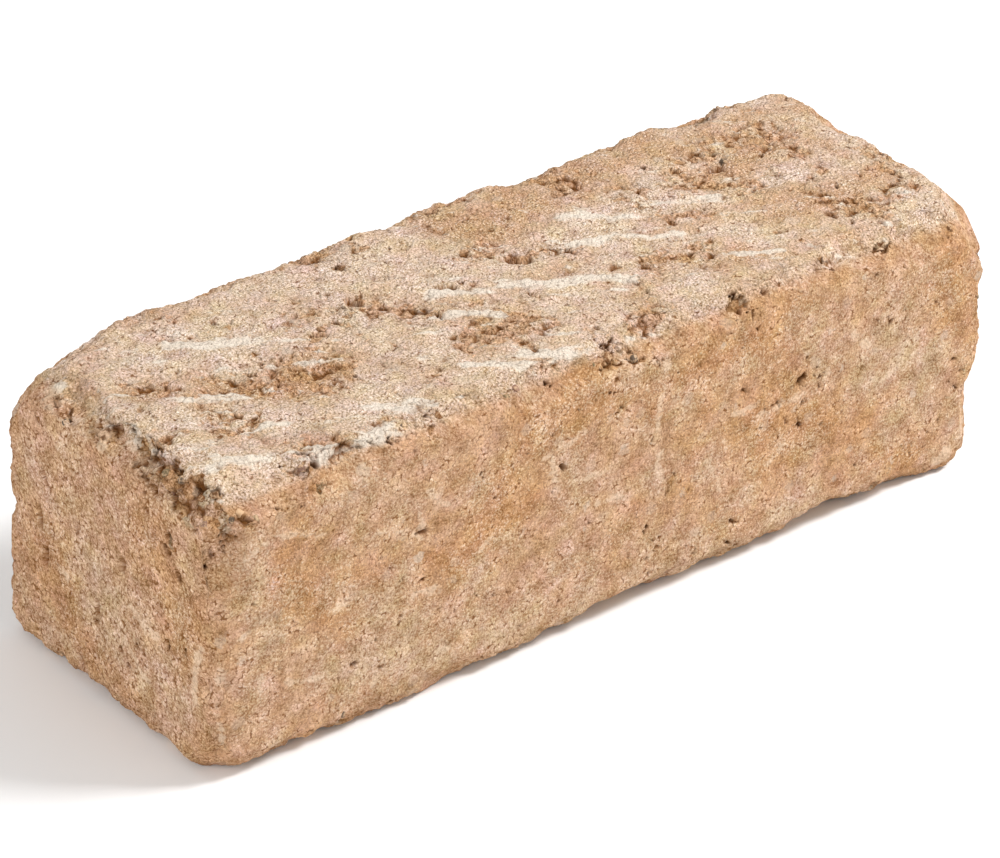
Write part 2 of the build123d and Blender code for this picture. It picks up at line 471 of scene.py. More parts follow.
class FinishTree(Tree):
    """A material's shader tree, with its one surface shader."""

    def __init__(self, name):
        self.material = bpy.data.materials.new(name)
        self.material.use_nodes = True
        tree = self.material.node_tree
        super().__init__(tree.nodes, tree.links)
        self.shader = self.nodes["Principled BSDF"]

    def place(self):
        """Where a point of the piece is, in millimetres."""
        return self.scaled(self.add("ShaderNodeTexCoord", None, None, "Object"), 1 / MM)

    def mask(self, name, output="Fac"):
        """A value that the mesh carries under a name."""
        return self.add("ShaderNodeAttribute", {"attribute_name": name}, None, output)

    def times(self, colour, tint):
        """A colour multiplied by another, part by part."""
        settings = {"data_type": "RGBA", "blend_type": "MULTIPLY"}
        return self.add("ShaderNodeMix", settings, {0: 1.0, 6: colour, 7: tint}, output=2)

    def toned(self, colour, tone):
        """A colour made lighter and paler, or darker and deeper, as sand is. A tone of 1 leaves it alone."""
        parts = {0: tone, 1: tone ** 1.25, 2: tone ** 1.65}
        return self.times(colour, self.add("ShaderNodeCombineColor", None, parts))

    def tinted(self, colour, noise, strength):
        """A colour with each of its parts pushed up or down by a part of a coloured noise."""
        lowest = [1 - 0.5 * part for part in strength]
        sockets = {0: noise, 1: strength, 2: lowest}
        return self.times(colour, self.add("ShaderNodeVectorMath", {"operation": "MULTIPLY_ADD"}, sockets))

    def feed(self, socket, value):
        """Sets or links a socket of the surface shader."""
        if isinstance(value, Field):
            self.links.new(value.socket, self.shader.inputs[socket])
        else:
            self.shader.inputs[socket].default_value = value

    def bump(self, height, depth):
        """Roughens the surface by a height, given in shares of a depth in metres."""
        sockets = {"Strength": 1.0, "Distance": depth, "Height": height}
        self.feed("Normal", self.add("ShaderNodeBump", None, sockets))


def rgba(colour):
    """A colour property as the four numbers a socket takes. A linked colour stays as it is."""
    return colour if isinstance(colour, Field) else (*colour, 1.0)


class Skin:
    """The masks of the block's skin, as fields of its relief tree."""

    def __init__(self, tree, settings):
        self.tree = tree
        self.settings = settings
        self.place = tree.place()
        parts = tree.parts(self.place)
        under_x, under_y, under_z = (
            half - abs(part - middle) for part, middle, half in zip(parts, CENTRE, HALF)
        )
        # The middle one of the three depths is how far a point of the skin lies from the nearest sharp edge.
        self.from_edge = under_x.least(under_y).most(under_x.most(under_y).least(under_z))
        self.top_side = (under_x.least(under_y) - (TOP - parts[2])).rise(-3.0, 3.0)
        self.end_side = (under_y.least(under_z) - under_x).rise(-3.0, 3.0)

    def broken(self):
        """1 where the worn edge has broken back to raw concrete."""
        wander = self.tree.noise(self.place, 26.0, 3.0, 0.6)
        ragged = self.tree.noise(self.place, 5.0, 3.0, 0.65, shift=40.0)
        reach = 30.0 * (wander - 0.5) + 12.0 * (ragged - 0.5) - 0.5
        by_chance = (reach - self.from_edge).rise(-0.8, 0.8)
        by_eye = self.tree.mark("broken_marks") + 1.2 * (wander - 0.5) + 1.6 * (ragged - 0.5)
        return by_chance.most(by_eye.rise(0.30, 0.40))

    def crumbled(self):
        """1 where the cement skin has come off and the sand under it shows, mostly on the top."""
        patch = self.tree.noise(self.place, 30.0, 4.0, 0.6, shift=80.0)
        ragged = self.tree.noise(self.place, 5.0, 3.0, 0.7, shift=120.0)
        by_chance = patch + 0.6 * (ragged - 0.5) + 0.16 * self.top_side - 0.11
        mark = self.tree.mark("crumbled_marks")
        by_eye = 0.36 + 0.42 * mark + 1.5 * (ragged - 0.5) * mark.rise(0.0, 0.2)
        return by_chance.most(by_eye).rise(0.60, 0.74)

    def holes(self):
        """1 in the small ragged holes left by air and by lost grit."""
        near = self.tree.cells(self.tree.wobbled(self.place, 2.6, 4.0, 15.0), 6.5, 15.0)
        chance, size, _ = self.tree.parts(near.beside("Color"))
        wanted = chance + 0.04 * self.end_side + 0.03 * self.top_side
        by_chance = (near + 0.22 * size).rise(0.32, 0.14) * wanted.rise(0.95, 0.97)
        ragged = self.tree.noise(self.place, 3.0, 2.0, 0.6, shift=55.0)
        by_eye = (self.tree.mark("hole_marks") + 0.9 * (ragged - 0.5)).rise(0.30, 0.65)
        return by_chance.most(by_eye)

    def streaked(self):
        """0 to 1 for pale cement smeared over the skin, along the scrape on the top, and for a painted
        highlight on the left arris.
        """
        along = self.tree.drawn_out(self.place, self.settings.scrape_angle, 5.0)
        streak = self.tree.noise(along, 5.0, 4.0, 0.65, shift=300.0)
        scuffs = self.tree.noise(self.place, 7.0, 4.0, 0.65, shift=340.0)
        by_chance = (streak + 0.5 * (scuffs - 0.5)).rise(0.54, 0.74) * self.top_side
        by_chance = by_chance.most(0.4 * scuffs.rise(0.62, 0.78))
        by_eye = 0.9 * self.tree.mark("pale_marks") + 1.0 * (scuffs - 0.5) + 1.6 * (streak - 0.5)
        return by_chance.most(by_eye.rise(0.26, 0.78))

    def rusty(self):
        """How rusty the skin is, mostly from 0 to 1."""
        return self.tree.noise(self.place, 26.0, 5.0, 0.62, shift=600.0) + 0.3 * self.tree.mark("rusty_marks")

    def ashen(self):
        """How ashen the skin is, mostly from 0 to 1."""
        return self.tree.noise(self.place, 20.0, 5.0, 0.62, shift=640.0) + 0.2 * self.tree.mark("ashen_marks")


def relief_group(settings):
    """The geometry tree that carves the skin. All is cut inwards, so the block keeps its cast size."""
    tree = ReliefTree("Block relief")
    skin = Skin(tree, settings)
    place = skin.place
    broken = skin.broken()
    crumbled = skin.crumbled() * (1 - broken)
    holes, streaked = skin.holes(), skin.streaked()
    crumb_gaps, _ = tree.crumbs(place, CRUMB)
    lump_gaps, _ = tree.crumbs(place, LUMP)
    wave = tree.noise(place, 80.0, 1.0)
    rough = tree.noise(place, 8.0, 5.0, 0.62, shift=500.0)
    ragged = tree.noise(place, 11.0, 5.0, 0.62, shift=540.0)
    near_edge = skin.from_edge.rise(15.0, 4.0)
    lumpy = crumbled.most(0.5 * skin.top_side * ragged.rise(0.40, 0.58))
    gaps = lumpy * crumb_gaps.rise(0.35, 0.75) + broken * lump_gaps.rise(0.40, 0.80)

    # Each noise counts from a level of its own. Where the sum is under 0, the cast skin stays as it is.
    depth = settings.wave_depth / MM * (wave - 0.3)
    depth += settings.rough_depth / MM * (rough - 0.38) * (0.5 + skin.top_side)
    depth += settings.edge_depth / MM * (ragged - 0.42) * near_edge
    depth += settings.crumble_depth / MM * lumpy * crumb_gaps
    depth += settings.break_depth / MM * broken * (0.7 * lump_gaps + 0.5 * crumb_gaps)
    depth += settings.hole_depth / MM * holes
    depth -= settings.smear_height / MM * streaked * skin.top_side

    masks = {
        "broken": broken,
        "crumbled": crumbled,
        "hollow": holes.most(gaps),
        "streaked": streaked,
        "near_edge": near_edge,
        "top_side": skin.top_side,
        "end_side": skin.end_side,
        "rusty": skin.rusty(),
        "ashen": skin.ashen(),
    }
    for name, mask in masks.items():
        tree.store(name, mask)
    tree.store("cast_place", place, "FLOAT_VECTOR")
    tree.sink(depth.most(0.0))
    return tree.finish()


class ConcreteTree(FinishTree):
    """Sandy, weathered concrete: a mottled cast skin, orange crumbs where it is off, pale smears and a
    painted highlight on the left arris, and painted shade in the gaps and holes.
    """

    def __init__(self, settings):
        super().__init__("Tumbled concrete")
        self.settings = settings
        self.cast = self.mask("cast_place", "Vector")
        self.broken = self.mask("broken")
        self.crumbled = self.mask("crumbled")
        self.streaked = self.mask("streaked")
        self.top = self.mask("top_side")
        self.end = self.mask("end_side")
        self.raw = self.broken.most(self.crumbled)
        # Three noises about 0, from fine to wide, then the granules, and the crumbs and lumps of the relief.
        self.grain = self.noise(self.cast, 0.8, 1.0, 0.8, shift=680.0) - 0.5
        self.grit = self.noise(self.cast, 3.0, 4.0, 0.72, shift=720.0) - 0.5
        self.patches = self.noise(self.cast, 9.0, 5.0, 0.66, shift=760.0) - 0.5
        self.dither = 0.9 * self.grain + 0.5 * self.grit
        self.granule_gaps, self.granule = self.crumbs(self.cast, GRANULE)
        self.crumb_gaps, self.crumb = self.crumbs(self.cast, CRUMB)
        self.lump_gaps, self.lump = self.crumbs(self.cast, LUMP)

    def cast_skin(self):
        """The colour of the whole skin: redder, yellower and greyer patches, and a pale top."""
        settings = self.settings
        rust = (self.mask("rusty") + self.dither).rise(0.42, 0.76)
        ashes = (self.mask("ashen") + self.dither).rise(0.48, 0.70)
        colour = self.blend(rust, settings.pink, settings.ochre)
        colour = self.blend(0.70 * ashes, colour, settings.ash)
        colour = self.blend(0.25 * self.end, colour, settings.pink)
        return self.blend(0.85 * self.top * (1 - 0.75 * rust), colour, settings.pale)

    def with_breaks(self, colour):
        """A colour of the skin, with sand where it has crumbled and lumps where its edges have broken."""
        settings = self.settings
        sandy = (self.crumbled + self.dither).rise(0.25, 0.75)
        edges = self.mask("near_edge") * (1 - self.streaked)
        lumpy = (self.broken + self.dither - 0.8 * self.streaked).rise(0.3, 0.7)
        stops = (
            (0.0, settings.dark),
            (0.16, settings.grey),
            (0.22, settings.raw),
            (0.72, settings.pink),
            (0.94, settings.ash),
        )
        lumps = self.add("ShaderNodeValToRGB", {"stops": stops}, {0: self.lump})
        colour = self.blend(0.65 * sandy, colour, settings.crumb)
        colour = self.blend(0.28 * edges, colour, settings.raw)
        return self.blend(0.85 * lumpy, colour, lumps)

    def tone(self):
        """How light the concrete is from grain to grain, crumb to crumb and patch to patch, about 1."""
        contrast = self.settings.grain_contrast * (0.68 + 0.54 * self.top + 0.30 * self.end)
        tone = 1 + contrast * self.grain + 0.6 * self.grit + 0.07 * self.top
        tone += 0.22 * (self.granule - 0.5) + 0.3 * self.raw * (self.crumb - 0.5)
        tone += (1.7 - 1.05 * self.top) * self.patches
        return tone.most(0.15)

    def smear_and_highlight(self):
        """0 to 1 for how much pale cement shows, in strands along the scrape, and for a painted highlight on
        the left arris.
        """
        scraped = self.drawn_out(self.cast, self.settings.scrape_angle, 6.0)
        strands = self.noise(scraped, 2.2, 3.0, 0.65, shift=390.0) - 0.5
        smear_and_highlight = (self.streaked + 2.0 * strands + 0.4 * self.dither).rise(0.25, 0.95)
        return smear_and_highlight * (1 - 0.5 * self.broken)

    def stones(self):
        """0 to 1 for how much the stones just under the skin show, each as strongly as chance has it."""
        near = self.cells(self.cast, 8.0, 90.0)
        chance, strength, _ = self.parts(near.beside("Color"))
        shown = (near + 0.8 * self.grit).rise(0.36, 0.24) * chance.rise(0.80, 0.82)
        return (0.15 + 0.4 * strength) * shown

    def shaded_gaps(self):
        """1 in the gaps that get painted shade: between granules in patches, between crumbs and between
        lumps.
        """
        # Noise that picks the patches where the gaps between granules get painted shade.
        worn = self.grit + 0.8 * self.patches + 0.08 * self.raw + 0.05 * self.end - 0.02 * self.top
        granules = (self.granule_gaps + 0.6 * self.grain).rise(0.34, 0.62) * worn.rise(-0.02, 0.10)
        crumbs = (self.crumb_gaps + 0.5 * self.grain).rise(0.36, 0.66) * self.crumbled
        lumps = (self.lump_gaps + 0.5 * self.grain).rise(0.32, 0.60) * self.broken
        return granules.most(crumbs).most(lumps)

    def height(self):
        """The height of the grain that is finer than the mesh."""
        grain = 0.5 + self.grit + 0.2 * self.grain
        granules = 0.45 * self.granule_gaps
        crumbs = 0.8 * self.crumbled * self.crumb_gaps
        lumps = 1.4 * self.broken * self.lump_gaps
        return (grain - granules - crumbs - lumps) * (0.6 + 0.5 * self.top + 0.4 * self.raw)

    def finish(self):
        """Feeds the surface shader and returns the material."""
        settings = self.settings
        smear_and_highlight = self.smear_and_highlight()
        tints = self.noise(self.cast, 9.0, 2.0, 0.5, shift=820.0, output="Color")
        colour = self.toned(self.with_breaks(self.cast_skin()), self.tone())
        colour = self.tinted(colour, tints, settings.tint)
        smears = self.blend(self.top, settings.chalk, settings.cement)
        # Pale cement and chalk smears, with a painted highlight along the left arris of the top.
        colour = self.blend(smear_and_highlight * (0.50 + 0.32 * self.top), colour, smears)
        colour = self.blend(self.stones(), colour, settings.stone)
        # Painted shade in the gaps between granules, crumbs and lumps.
        colour = self.blend(0.86 * self.shaded_gaps() * (1 - 0.4 * smear_and_highlight), colour, settings.painted_shade)
        # Painted shade in the holes and gaps of the carved relief.
        colour = self.blend(0.84 * self.mask("hollow"), colour, settings.painted_shade)
        self.feed("Base Color", colour)
        self.feed("Roughness", 0.95 - 0.1 * smear_and_highlight)
        self.feed("Specular IOR Level", 0.05)
        self.bump(self.height(), settings.grain_height)
        return self.material


def gravel_finish(settings):
    """Worn gravel: each pebble in its own colour, mottled, with sand stuck to it."""
    tree = FinishTree("Exposed gravel")
    mottle = tree.noise(tree.place(), 1.6, 3.0, 0.7)
    stuck = 0.7 * mottle.rise(0.46, 0.56)
    colour = tree.blend(stuck, tree.mask("stone_colour", "Color"), settings.sand)
    tree.feed("Base Color", tree.toned(colour, 0.4 + 1.2 * mottle))
    tree.feed("Roughness", 0.85 - 0.25 * mottle)
    tree.feed("Specular IOR Level", 0.3)
    tree.bump(mottle, settings.pitting)
    return tree.material


def bent(points):
    """Points pushed along their faces by waves, so that marks measured from them get wandering outlines."""
    wide = 2.4 * np.sin(points[:, (1, 2, 0)] / 8.0)
    fine = 1.5 * np.sin(points[:, (2, 0, 1)] / 4.3)
    # The push across a face fades out in the last millimetres under it, so that the skin's points stay on it.
    fade_depth = 6.0
    under = HALF - np.abs(points - CENTRE)
    return points + (wide + fine) * np.clip(under / fade_depth, 0.0, 1.0)


def run_strength(points, runs):
    """1 along each run, falling to 0 as far from it as the run reaches."""
    strength = np.zeros(len(points))
    for start, end, reach in runs:
        along = np.subtract(end, start)
        share = np.clip((points - start) @ along / (along @ along), 0.0, 1.0)
        away = np.linalg.norm(points - start - share[:, None] * along, axis=1)
        strength = np.maximum(strength, 1 - away / reach)
    return strength


def read(items, name, width):
    """A value of every item of a mesh, one row each."""
    values = np.empty(len(items) * width, dtype=np.float32)
    items.foreach_get(name, values)
    return values.reshape(-1, width) if width > 1 else values


def new_piece(name, mesh):
    """A new object for a mesh, linked to the scene."""
    piece = bpy.data.objects.new(name, mesh)
    bpy.context.scene.collection.objects.link(piece)
    return piece


def settle(piece):
    """Replaces a piece's mesh by what its modifiers make of it, and takes the modifiers off."""
    graph = bpy.context.evaluated_depsgraph_get()
    settled = bpy.data.meshes.new_from_object(piece.evaluated_get(graph), depsgraph=graph)
    piece.modifiers.clear()
    old, piece.data = piece.data, settled
    settled.name = piece.name
    bpy.data.meshes.remove(old)


def cast_copy(name):
    """A copy of the CAD block's mesh, with its faces welded to each other."""
    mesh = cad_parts[NODE].data.copy()
    mesh.name = name
    mesh.materials.clear()
    weld_gap = 0.01 * MM
    welded = bmesh.new()
    welded.from_mesh(mesh)
    bmesh.ops.remove_doubles(welded, verts=welded.verts, dist=weld_gap)
    welded.to_mesh(mesh)
    welded.free()
    return mesh


def add_bake_layout(mesh):
    """Lays the six sides out flat in one square map, at one scale."""
    gap = 6.0
    wide, deep, high = HIGH - LOW
    rows = (0.0, deep + gap, deep + high + 2 * gap, deep + 2 * high + 3 * gap)
    column = wide + gap
    # Each side, by its axis and direction: two axes of the block, and its place in the map in millimetres.
    sides = {
        (2, 1): (0, 1, 0.0, rows[0]),
        (1, -1): (0, 2, 0.0, rows[1]),
        (1, 1): (0, 2, 0.0, rows[2]),
        (2, -1): (0, 1, 0.0, rows[3]),
        (0, -1): (1, 2, column, rows[0]),
        (0, 1): (1, 2, column, rows[1]),
    }
    whole = max(column + deep, rows[3] + deep) + 2 * gap
    corner_vertex = read(mesh.loops, "vertex_index", 1).astype(int)
    points = read(mesh.vertices, "co", 3)[corner_vertex] / MM - LOW
    normals = read(mesh.polygons, "normal", 3)
    corners = read(mesh.polygons, "loop_total", 1).astype(int)
    facing = np.abs(normals).argmax(axis=1)
    sign = np.repeat(np.sign(normals[np.arange(len(normals)), facing]), corners)
    axis = np.repeat(facing, corners)
    flat = np.zeros((len(corner_vertex), 2))
    for (side_axis, side_sign), (across, up, left, low) in sides.items():
        here = (axis == side_axis) & (sign == side_sign)
        flat[here] = points[here][:, (across, up)] + np.array([left + gap, low + gap])
    layout = (flat / whole).astype(np.float32)
    mesh.uv_layers.new(name=BAKE_LAYER).data.foreach_set("uv", layout.ravel())


def length_property(name, description, size, **limits):
    """A length, given in millimetres and kept in metres."""
    return FloatProperty(
        name=name, description=description, default=size * MM, unit="LENGTH", precision=5, **limits,
    )


def angle_property(name, description, degrees):
    """An angle, given in degrees and kept in radians."""
    return FloatProperty(name=name, description=description, default=math.radians(degrees), subtype="ANGLE")


def colour_property(name, description, colour):
    """A colour, given by its red, green and blue light."""
    return FloatVectorProperty(name=name, description=description, default=colour, subtype="COLOR")


class BlockSettings(bpy.types.PropertyGroup):
    """Sizes and colours of the block's skin."""

    voxel: length_property("Carving grid", "Grid of the mesh that is carved", 0.7, min=0.5 * MM)
    triangles: IntProperty(
        name="Triangles", description="Most triangles that the carved block keeps", default=196000, min=1000,
    )
    detail_care: FloatProperty(
        name="Detail care", description="How much rather the plain skin is thinned out than the marked one",
        default=5e-6, min=0.0, precision=8,
    )
    wave_depth: length_property("Wave depth", "Slow waves of the cast faces", 0.8)
    rough_depth: length_property("Roughness depth", "Unevenness of the skin", 2.6)
    edge_depth: length_property("Edge depth", "Raggedness along the edges", 8.5)
    crumble_depth: length_property("Crumbled depth", "How deep the skin has come away", 2.6)
    break_depth: length_property("Break depth", "How deep edges have broken", 3.6)
    hole_depth: length_property("Hole depth", "Depth of the small holes", 2.6)
    smear_height: length_property("Smear height", "Thickness of the cement smears", 0.4)
    grain_height: length_property("Grain height", "Height of the sand grain", 2.0)
    grain_contrast: FloatProperty(
        name="Grain contrast", description="How much the sand grain lightens and darkens", default=2.1,
    )
    tint: FloatVectorProperty(
        name="Tint", description="How much red, green and blue vary", default=(0.1, 0.14, 0.45),
    )
    scrape_angle: angle_property("Scrape angle", "Direction of the smears across the top", -30.0)
    ochre: colour_property("Ochre", "Yellower patches of the skin", (0.505, 0.276, 0.135))
    pink: colour_property("Pink", "Redder patches of the skin", (0.53, 0.325, 0.20))
    ash: colour_property("Ash", "Greyer patches of the skin", (0.54, 0.39, 0.255))
    pale: colour_property("Pale", "Dried laitance on the top face", (0.70, 0.53, 0.39))
    crumb: colour_property("Crumb", "Sand under the skin", (0.56, 0.30, 0.145))
    dark: colour_property("Dark lumps", "Brown lumps of the breaks", (0.12, 0.045, 0.012))
    grey: colour_property("Grey lumps", "Grey lumps of the breaks", (0.24, 0.16, 0.085))
    raw: colour_property("Raw edge", "Freshly broken concrete", (0.46, 0.25, 0.115))
    cement: colour_property("Cement", "Pale cement smears on the top", (0.86, 0.76, 0.64))
    chalk: colour_property("Chalk", "Pale scratches and rubs on the sides", (0.82, 0.63, 0.46))
    # Painted shade: the colour that darkens the gaps, pores and holes.
    painted_shade: colour_property("Pore", "Dirt in the pores and holes", (0.19, 0.068, 0.015))
    stone: colour_property("Stone", "Stones just under the skin", (0.66, 0.53, 0.42))


class GravelSettings(bpy.types.PropertyGroup):
    """Number, sizes and stones of the gravel that shows."""

    count: IntProperty(name="Count", description="Pebbles strewn over the broken edges", default=70, min=0)
    smallest: length_property("Smallest", "Radius of the finest gravel", 0.9)
    largest: length_property("Largest", "Radius of the coarsest gravel", 1.7)
    spacing: length_property("Spacing", "Least spacing of the strewn pebbles", 4.5)
    pitting: length_property("Pitting", "Depth of the pits in the pebbles", 0.25)
    seed: IntProperty(name="Seed", description="Picks the places and shapes", default=4)
    slate: colour_property("Slate", "Dark grey stone", (0.115, 0.08, 0.055))
    brown: colour_property("Brown", "Brown stone", (0.19, 0.085, 0.03))
    olive: colour_property("Olive", "Greenish stone", (0.20, 0.145, 0.075))
    mauve: colour_property("Mauve", "Reddish grey stone", (0.30, 0.17, 0.12))
    lilac: colour_property("Lilac", "Pale grey stone", (0.54, 0.43, 0.38))
    cream: colour_property("Cream", "Whitish stone", (0.68, 0.58, 0.46))
    sand: colour_property("Sand", "Stone with the colour of the block", (0.54, 0.35, 0.20))
    amber: colour_property("Amber", "Rusty stone", (0.42, 0.19, 0.04))


class StudioSettings(bpy.types.PropertyGroup):
    """The camera, floor and lights."""

    azimuth: angle_property("Azimuth", "Turn of the camera round the block", -41.17)
    elevation: angle_property("Elevation", "Height of the camera over the horizon", 31.47)
    roll: angle_property("Roll", "Lean of the camera", 2.77)
    distance: length_property("Distance", "Camera to the middle of the block", 1709.9)
    slide: FloatVectorProperty(
        name="Slide", description="Move of the camera to its right and up", size=2,
        default=(-5.7 * MM, -8.1 * MM), unit="LENGTH", precision=5,
    )
    lens: FloatProperty(name="Lens", description="Focal length in millimetres", default=162.0)
    floor_reach: length_property("Floor reach", "How far the floor runs each way", 6000.0)
    floor_colour: colour_property("Floor", "Colour of the floor", (0.93, 0.93, 0.93))
    key_place: FloatVectorProperty(
        name="Key place", description="Key light from the middle of the block", default=(0.95, -0.7, 1.5),
        unit="LENGTH",
    )
    key_size: length_property("Key size", "Side of the key light", 500.0)
    key_power: FloatProperty(name="Key", description="Power of the key light in watts", default=32.5)
    fill_place: FloatVectorProperty(
        name="Fill place", description="Fill light from the middle of the block", default=(-1.8, -0.3, 0.8),
        unit="LENGTH",
    )
    fill_size: length_property("Fill size", "Side of the fill light", 1200.0)
    fill_power: FloatProperty(name="Fill", description="Power of the fill light in watts", default=13.6)
    sky: FloatProperty(name="Sky", description="Strength of the light from all round", default=0.63)


class WALLBLOCK_OT_block(bpy.types.Operator):
    """Carve the cast block and give it its finish"""

    bl_idname = "wallblock.block"
    bl_label = "Tumbled block"

    def execute(self, context):
        settings = context.scene.wall_block
        block = new_piece(BLOCK, cast_copy(BLOCK))
        self.cut_to_grid(block, settings)
        self.mark(block.data)
        self.carve(block, settings)
        self.thin_out(block, settings)
        if not block.data.polygons:
            raise RuntimeError("the carved block came out empty")
        self.keep_in_box(block.data)
        block.data.shade_smooth()
        add_bake_layout(block.data)
        block.data.materials.append(ConcreteTree(settings).finish())
        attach(block, BODY)
        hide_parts(NODE)
        return {"FINISHED"}

    def cut_to_grid(self, block, settings):
        """Gives the block an even mesh that is fine enough to carve."""
        remesh = block.modifiers.new("Carving grid", "REMESH")
        remesh.mode = "VOXEL"
        remesh.voxel_size = settings.voxel
        settle(block)

    def mark(self, mesh):
        """Leaves the strength of the marks placed by eye on the mesh's points."""
        points = bent(read(mesh.vertices, "co", 3) / MM)
        for name, runs in MARKS.items():
            strength = run_strength(points, runs).astype(np.float32)
            mesh.attributes.new(name, "FLOAT", "POINT").data.foreach_set("value", strength)

    def carve(self, block, settings):
        """Cuts the relief into the block."""
        relief = block.modifiers.new("Relief", "NODES")
        relief.node_group = relief_group(settings)
        settle(block)

    def thin_out(self, block, settings):
        """Brings the block down to its number of triangles, mostly where its skin is plain."""
        block.data.calc_loop_triangles()
        thin = block.modifiers.new("Thin out", "DECIMATE")
        thin.ratio = min(1.0, settings.triangles / len(block.data.loop_triangles))
        thin.use_collapse_triangulate = True
        thin.vertex_group = self.group_detail(block).name
        thin.vertex_group_factor = settings.detail_care
        thin.invert_vertex_group = True
        settle(block)

    def group_detail(self, block):
        """A vertex group of the points where the skin is broken, crumbled, holed, smeared, painted with the
        arris highlight, or near an edge.
        """
        detail = np.zeros(len(block.data.vertices))
        for name in DETAIL_MASKS:
            detail = np.maximum(detail, read(block.data.attributes[name].data, "value", 1))
        group = block.vertex_groups.new(name="detail")
        for step in DETAIL_STEPS:
            group.add(np.flatnonzero(detail >= step).tolist(), step, "REPLACE")
        return group

    def keep_in_box(self, mesh):
        """Brings back the points that thinning out has pushed past a cast face by a hair."""
        points = np.clip(read(mesh.vertices, "co", 3), LOW * MM, HIGH * MM)
        mesh.vertices.foreach_set("co", points.astype(np.float32).ravel())


class WALLBLOCK_OT_gravel(bpy.types.Operator):
    """Set the gravel that shows into the carved block"""

    bl_idname = "wallblock.gravel"
    bl_label = "Exposed gravel"

    def execute(self, context):
        settings = context.scene.wall_gravel
        self.random = np.random.default_rng(settings.seed)
        block = bpy.data.objects.get(BLOCK)
        if block is None:
            raise RuntimeError("the block has to be carved before its gravel is set")
        context.view_layer.update()
        self.ball, self.ball_faces = self.unit_ball()
        self.points, self.colours = [], []
        for place, radius, sunk, stone in PEBBLES:
            _, foot, normal, _ = block.closest_point_on_mesh(Vector(place) * MM)
            self.set_pebble(np.array(foot) / MM, np.array(normal), radius, sunk, getattr(settings, stone))
        self.strew(block.data, settings)
        mesh = self.joined()
        gravel = new_piece(GRAVEL, mesh)
        mesh.materials.append(gravel_finish(settings))
        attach(gravel, BODY)
        return {"FINISHED"}

    def unit_ball(self):
        """The points and faces of a ball of radius 1."""
        ball = bmesh.new()
        bmesh.ops.create_icosphere(ball, subdivisions=3, radius=1.0)
        points = np.array([vertex.co[:] for vertex in ball.verts])
        faces = np.array([[vertex.index for vertex in face.verts] for face in ball.faces])
        ball.free()
        return points, faces

    def set_pebble(self, foot, normal, radius, sunk, colour):
        """Adds one uneven, rounded pebble, sunk into the skin at foot by a share of its radius."""
        turn, _ = np.linalg.qr(self.random.normal(size=(3, 3)))
        shape = self.ball * self.random.uniform(*PEBBLE_HALVES, size=3)
        for side in np.linalg.qr(self.random.normal(size=(3, 3)))[0]:
            for way in (side, -side):
                over = shape @ way - self.random.uniform(*PEBBLE_FLATS)
                shape = shape - PEBBLE_WEAR * np.maximum(over, 0.0)[:, None] * way
        shape = shape @ turn * (PEBBLE_SIZE * radius)
        placed = foot - normal * radius * (PEBBLE_BED + (1 - PEBBLE_BED) * sunk) + shape
        self.points.append(np.clip(placed, LOW + PEBBLE_MARGIN, HIGH - PEBBLE_MARGIN))
        shade = self.random.uniform(*PEBBLE_SHADES)
        self.colours.append(np.tile([*(np.array(colour) * shade), 1.0], (len(shape), 1)))

    def strew(self, mesh, settings):
        """Strews pebbles over the broken edges, at most one in each cell of the spacing."""
        strength = read(mesh.attributes["broken"].data, "value", 1)
        raw = np.flatnonzero(strength > STREWN_OVER)
        feet = read(mesh.vertices, "co", 3)[raw] / MM
        normals = read(mesh.vertices, "normal", 3)[raw]
        _, first = np.unique(np.floor(feet * MM / settings.spacing), axis=0, return_index=True)
        for index in self.random.permutation(first)[:settings.count]:
            share = self.random.uniform() ** STREWN_FINENESS
            radius = (settings.smallest + (settings.largest - settings.smallest) * share) / MM
            stone = getattr(settings, STREWN_STONES[self.random.integers(len(STREWN_STONES))])
            self.set_pebble(feet[index], normals[index], radius, self.random.uniform(*STREWN_SUNK), stone)

    def joined(self):
        """One mesh of all the pebbles, each with its own colour and its own square of the bake's map."""
        count, size = len(self.points), len(self.ball)
        faces = np.concatenate([self.ball_faces + size * i for i in range(count)])
        mesh = bpy.data.meshes.new(GRAVEL)
        mesh.from_pydata(np.concatenate(self.points) * MM, [], faces)
        colours = np.concatenate(self.colours).astype(np.float32)
        mesh.attributes.new("stone_colour", "FLOAT_COLOR", "POINT").data.foreach_set("color", colours.ravel())
        mesh.shade_smooth()
        # Each pebble's two halves lie side by side in its square, the upper one on the left.
        flat = self.ball[self.ball_faces]
        lower = flat[:, :, 2].mean(axis=1) < 0
        halves = flat[:, :, :2] * (0.23, 0.46) + np.where(lower[:, None, None], (0.75, 0.5), (0.25, 0.5))
        across = math.ceil(math.sqrt(count))
        corners = [(i % across, i // across) for i in range(count)]
        layout = np.concatenate([(halves + corner) / across for corner in corners])
        mesh.uv_layers.new(name=BAKE_LAYER).data.foreach_set("uv", layout.astype(np.float32).ravel())
        return mesh


